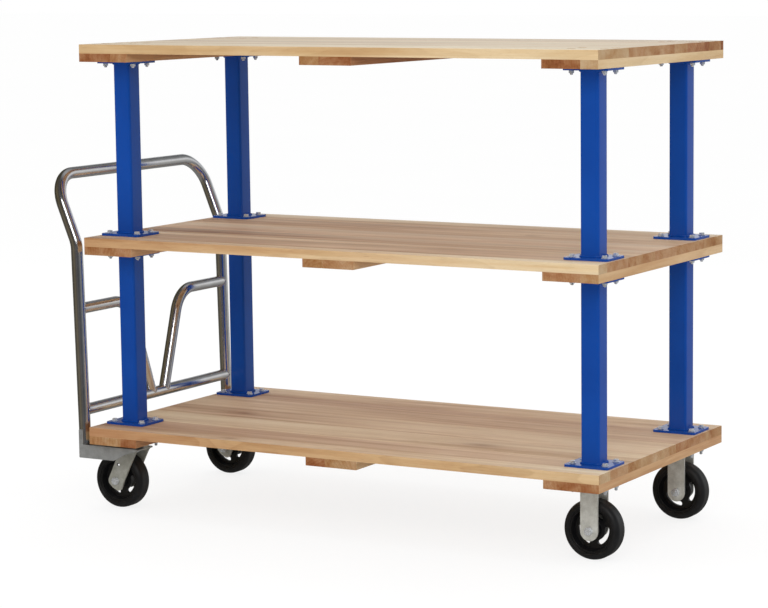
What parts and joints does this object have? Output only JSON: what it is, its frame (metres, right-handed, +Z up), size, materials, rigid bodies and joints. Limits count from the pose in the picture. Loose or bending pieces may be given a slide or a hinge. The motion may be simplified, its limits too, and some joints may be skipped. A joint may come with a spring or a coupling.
{
  "type": "platform trolley",
  "caption": "Hardwood shelf trolley with blue square posts, a bent chromed push handle, and rigid and swivel casters with black rubber wheels.",
  "frame": {"origin": "on the floor under the centre of the overall box; the deck centre is 67.4 mm further forward", "axes": "+Z up from the floor, +X towards the front (rigid caster end, away from the handle), +Y to the left"},
  "size_m": [1.6752, 0.762, 1.2652],
  "materials": {
    "hardwood_planks": "satin",
    "hardwood_cleats": "satin",
    "blue_powder_coat": "gloss",
    "chromed_tube": "polished",
    "galvanised_steel": "matt",
    "zinc_plated_steel": "satin",
    "zinc_fasteners": "satin",
    "bearing_steel": "polished",
    "black_cast_iron": "satin",
    "black_rubber": "satin"
  },
  "bodies": {
    "frame": {"bottom_deck_bolts": "zinc_fasteners", "bottom_deck_cleats": "hardwood_cleats", "bottom_deck_planks": "hardwood_planks", "cleat_screws": "zinc_fasteners", "deck_bolt_nuts": "zinc_fasteners", "deck_bolt_washers": "zinc_fasteners", "handle_brace_left": "chromed_tube", "handle_brace_right": "chromed_tube", "handle_hoop": "chromed_tube", "handle_lower_rail": "chromed_tube", "handle_socket_left": "galvanised_steel", "handle_socket_right": "galvanised_steel", "handle_socket_screws": "zinc_fasteners", "middle_deck_bolts": "zinc_fasteners", "middle_deck_cleats": "hardwood_cleats", "middle_deck_planks": "hardwood_planks", "post_lower_front_left": "blue_powder_coat", "post_lower_front_right": "blue_powder_coat", "post_lower_rear_left": "blue_powder_coat", "post_lower_rear_right": "blue_powder_coat", "post_upper_front_left": "blue_powder_coat", "post_upper_front_right": "blue_powder_coat", "post_upper_rear_left": "blue_powder_coat", "post_upper_rear_right": "blue_powder_coat", "rigid_caster_left_axle_bolt": "zinc_fasteners", "rigid_caster_left_axle_sleeve": "bearing_steel", "rigid_caster_left_fork": "zinc_plated_steel", "rigid_caster_right_axle_bolt": "zinc_fasteners", "rigid_caster_right_axle_sleeve": "bearing_steel", "rigid_caster_right_fork": "zinc_plated_steel", "swivel_caster_left_king_bolt": "zinc_fasteners", "swivel_caster_left_top_plate": "zinc_plated_steel", "swivel_caster_right_king_bolt": "zinc_fasteners", "swivel_caster_right_top_plate": "zinc_plated_steel", "top_deck_bolts": "zinc_fasteners", "top_deck_cleats": "hardwood_cleats", "top_deck_planks": "hardwood_planks"},
    "rigid_wheel_left": {"rigid_caster_left_roller_bearing": "bearing_steel", "rigid_caster_left_wheel_core": "black_cast_iron", "rigid_caster_left_tyre": "black_rubber"},
    "swivel_left": {"swivel_caster_left_ball_race": "bearing_steel", "swivel_caster_left_fork": "zinc_plated_steel", "swivel_caster_left_axle_bolt": "zinc_fasteners", "swivel_caster_left_axle_sleeve": "bearing_steel"},
    "swivel_wheel_left": {"swivel_caster_left_roller_bearing": "bearing_steel", "swivel_caster_left_wheel_core": "black_cast_iron", "swivel_caster_left_tyre": "black_rubber"},
    "rigid_wheel_right": {"rigid_caster_right_roller_bearing": "bearing_steel", "rigid_caster_right_wheel_core": "black_cast_iron", "rigid_caster_right_tyre": "black_rubber"},
    "swivel_right": {"swivel_caster_right_ball_race": "bearing_steel", "swivel_caster_right_fork": "zinc_plated_steel", "swivel_caster_right_axle_bolt": "zinc_fasteners", "swivel_caster_right_axle_sleeve": "bearing_steel"},
    "swivel_wheel_right": {"swivel_caster_right_roller_bearing": "bearing_steel", "swivel_caster_right_wheel_core": "black_cast_iron", "swivel_caster_right_tyre": "black_rubber"}
  },
  "joints": [
    {"name": "rigid_wheel_left_spin", "type": "hinge", "parent": "frame", "child": "rigid_wheel_left", "pos_m": [0.7614, 0.265, 0.0762], "axis": [0, 1, 0], "continuous": true},
    {"name": "swivel_left_turn", "type": "hinge", "parent": "frame", "child": "swivel_left", "pos_m": [-0.6266, 0.265, 0.1779], "axis": [0, 0, 1], "continuous": true},
    {"name": "swivel_wheel_left_spin", "type": "hinge", "parent": "swivel_left", "child": "swivel_wheel_left", "pos_m": [-0.6726, 0.265, 0.0762], "axis": [0, 1, 0], "continuous": true},
    {"name": "rigid_wheel_right_spin", "type": "hinge", "parent": "frame", "child": "rigid_wheel_right", "pos_m": [0.7614, -0.265, 0.0762], "axis": [0, 1, 0], "continuous": true},
    {"name": "swivel_right_turn", "type": "hinge", "parent": "frame", "child": "swivel_right", "pos_m": [-0.6266, -0.265, 0.1779], "axis": [0, 0, 1], "continuous": true},
    {"name": "swivel_wheel_right_spin", "type": "hinge", "parent": "swivel_right", "child": "swivel_wheel_right", "pos_m": [-0.6726, -0.265, 0.0762], "axis": [0, 1, 0], "continuous": true}
  ]
}
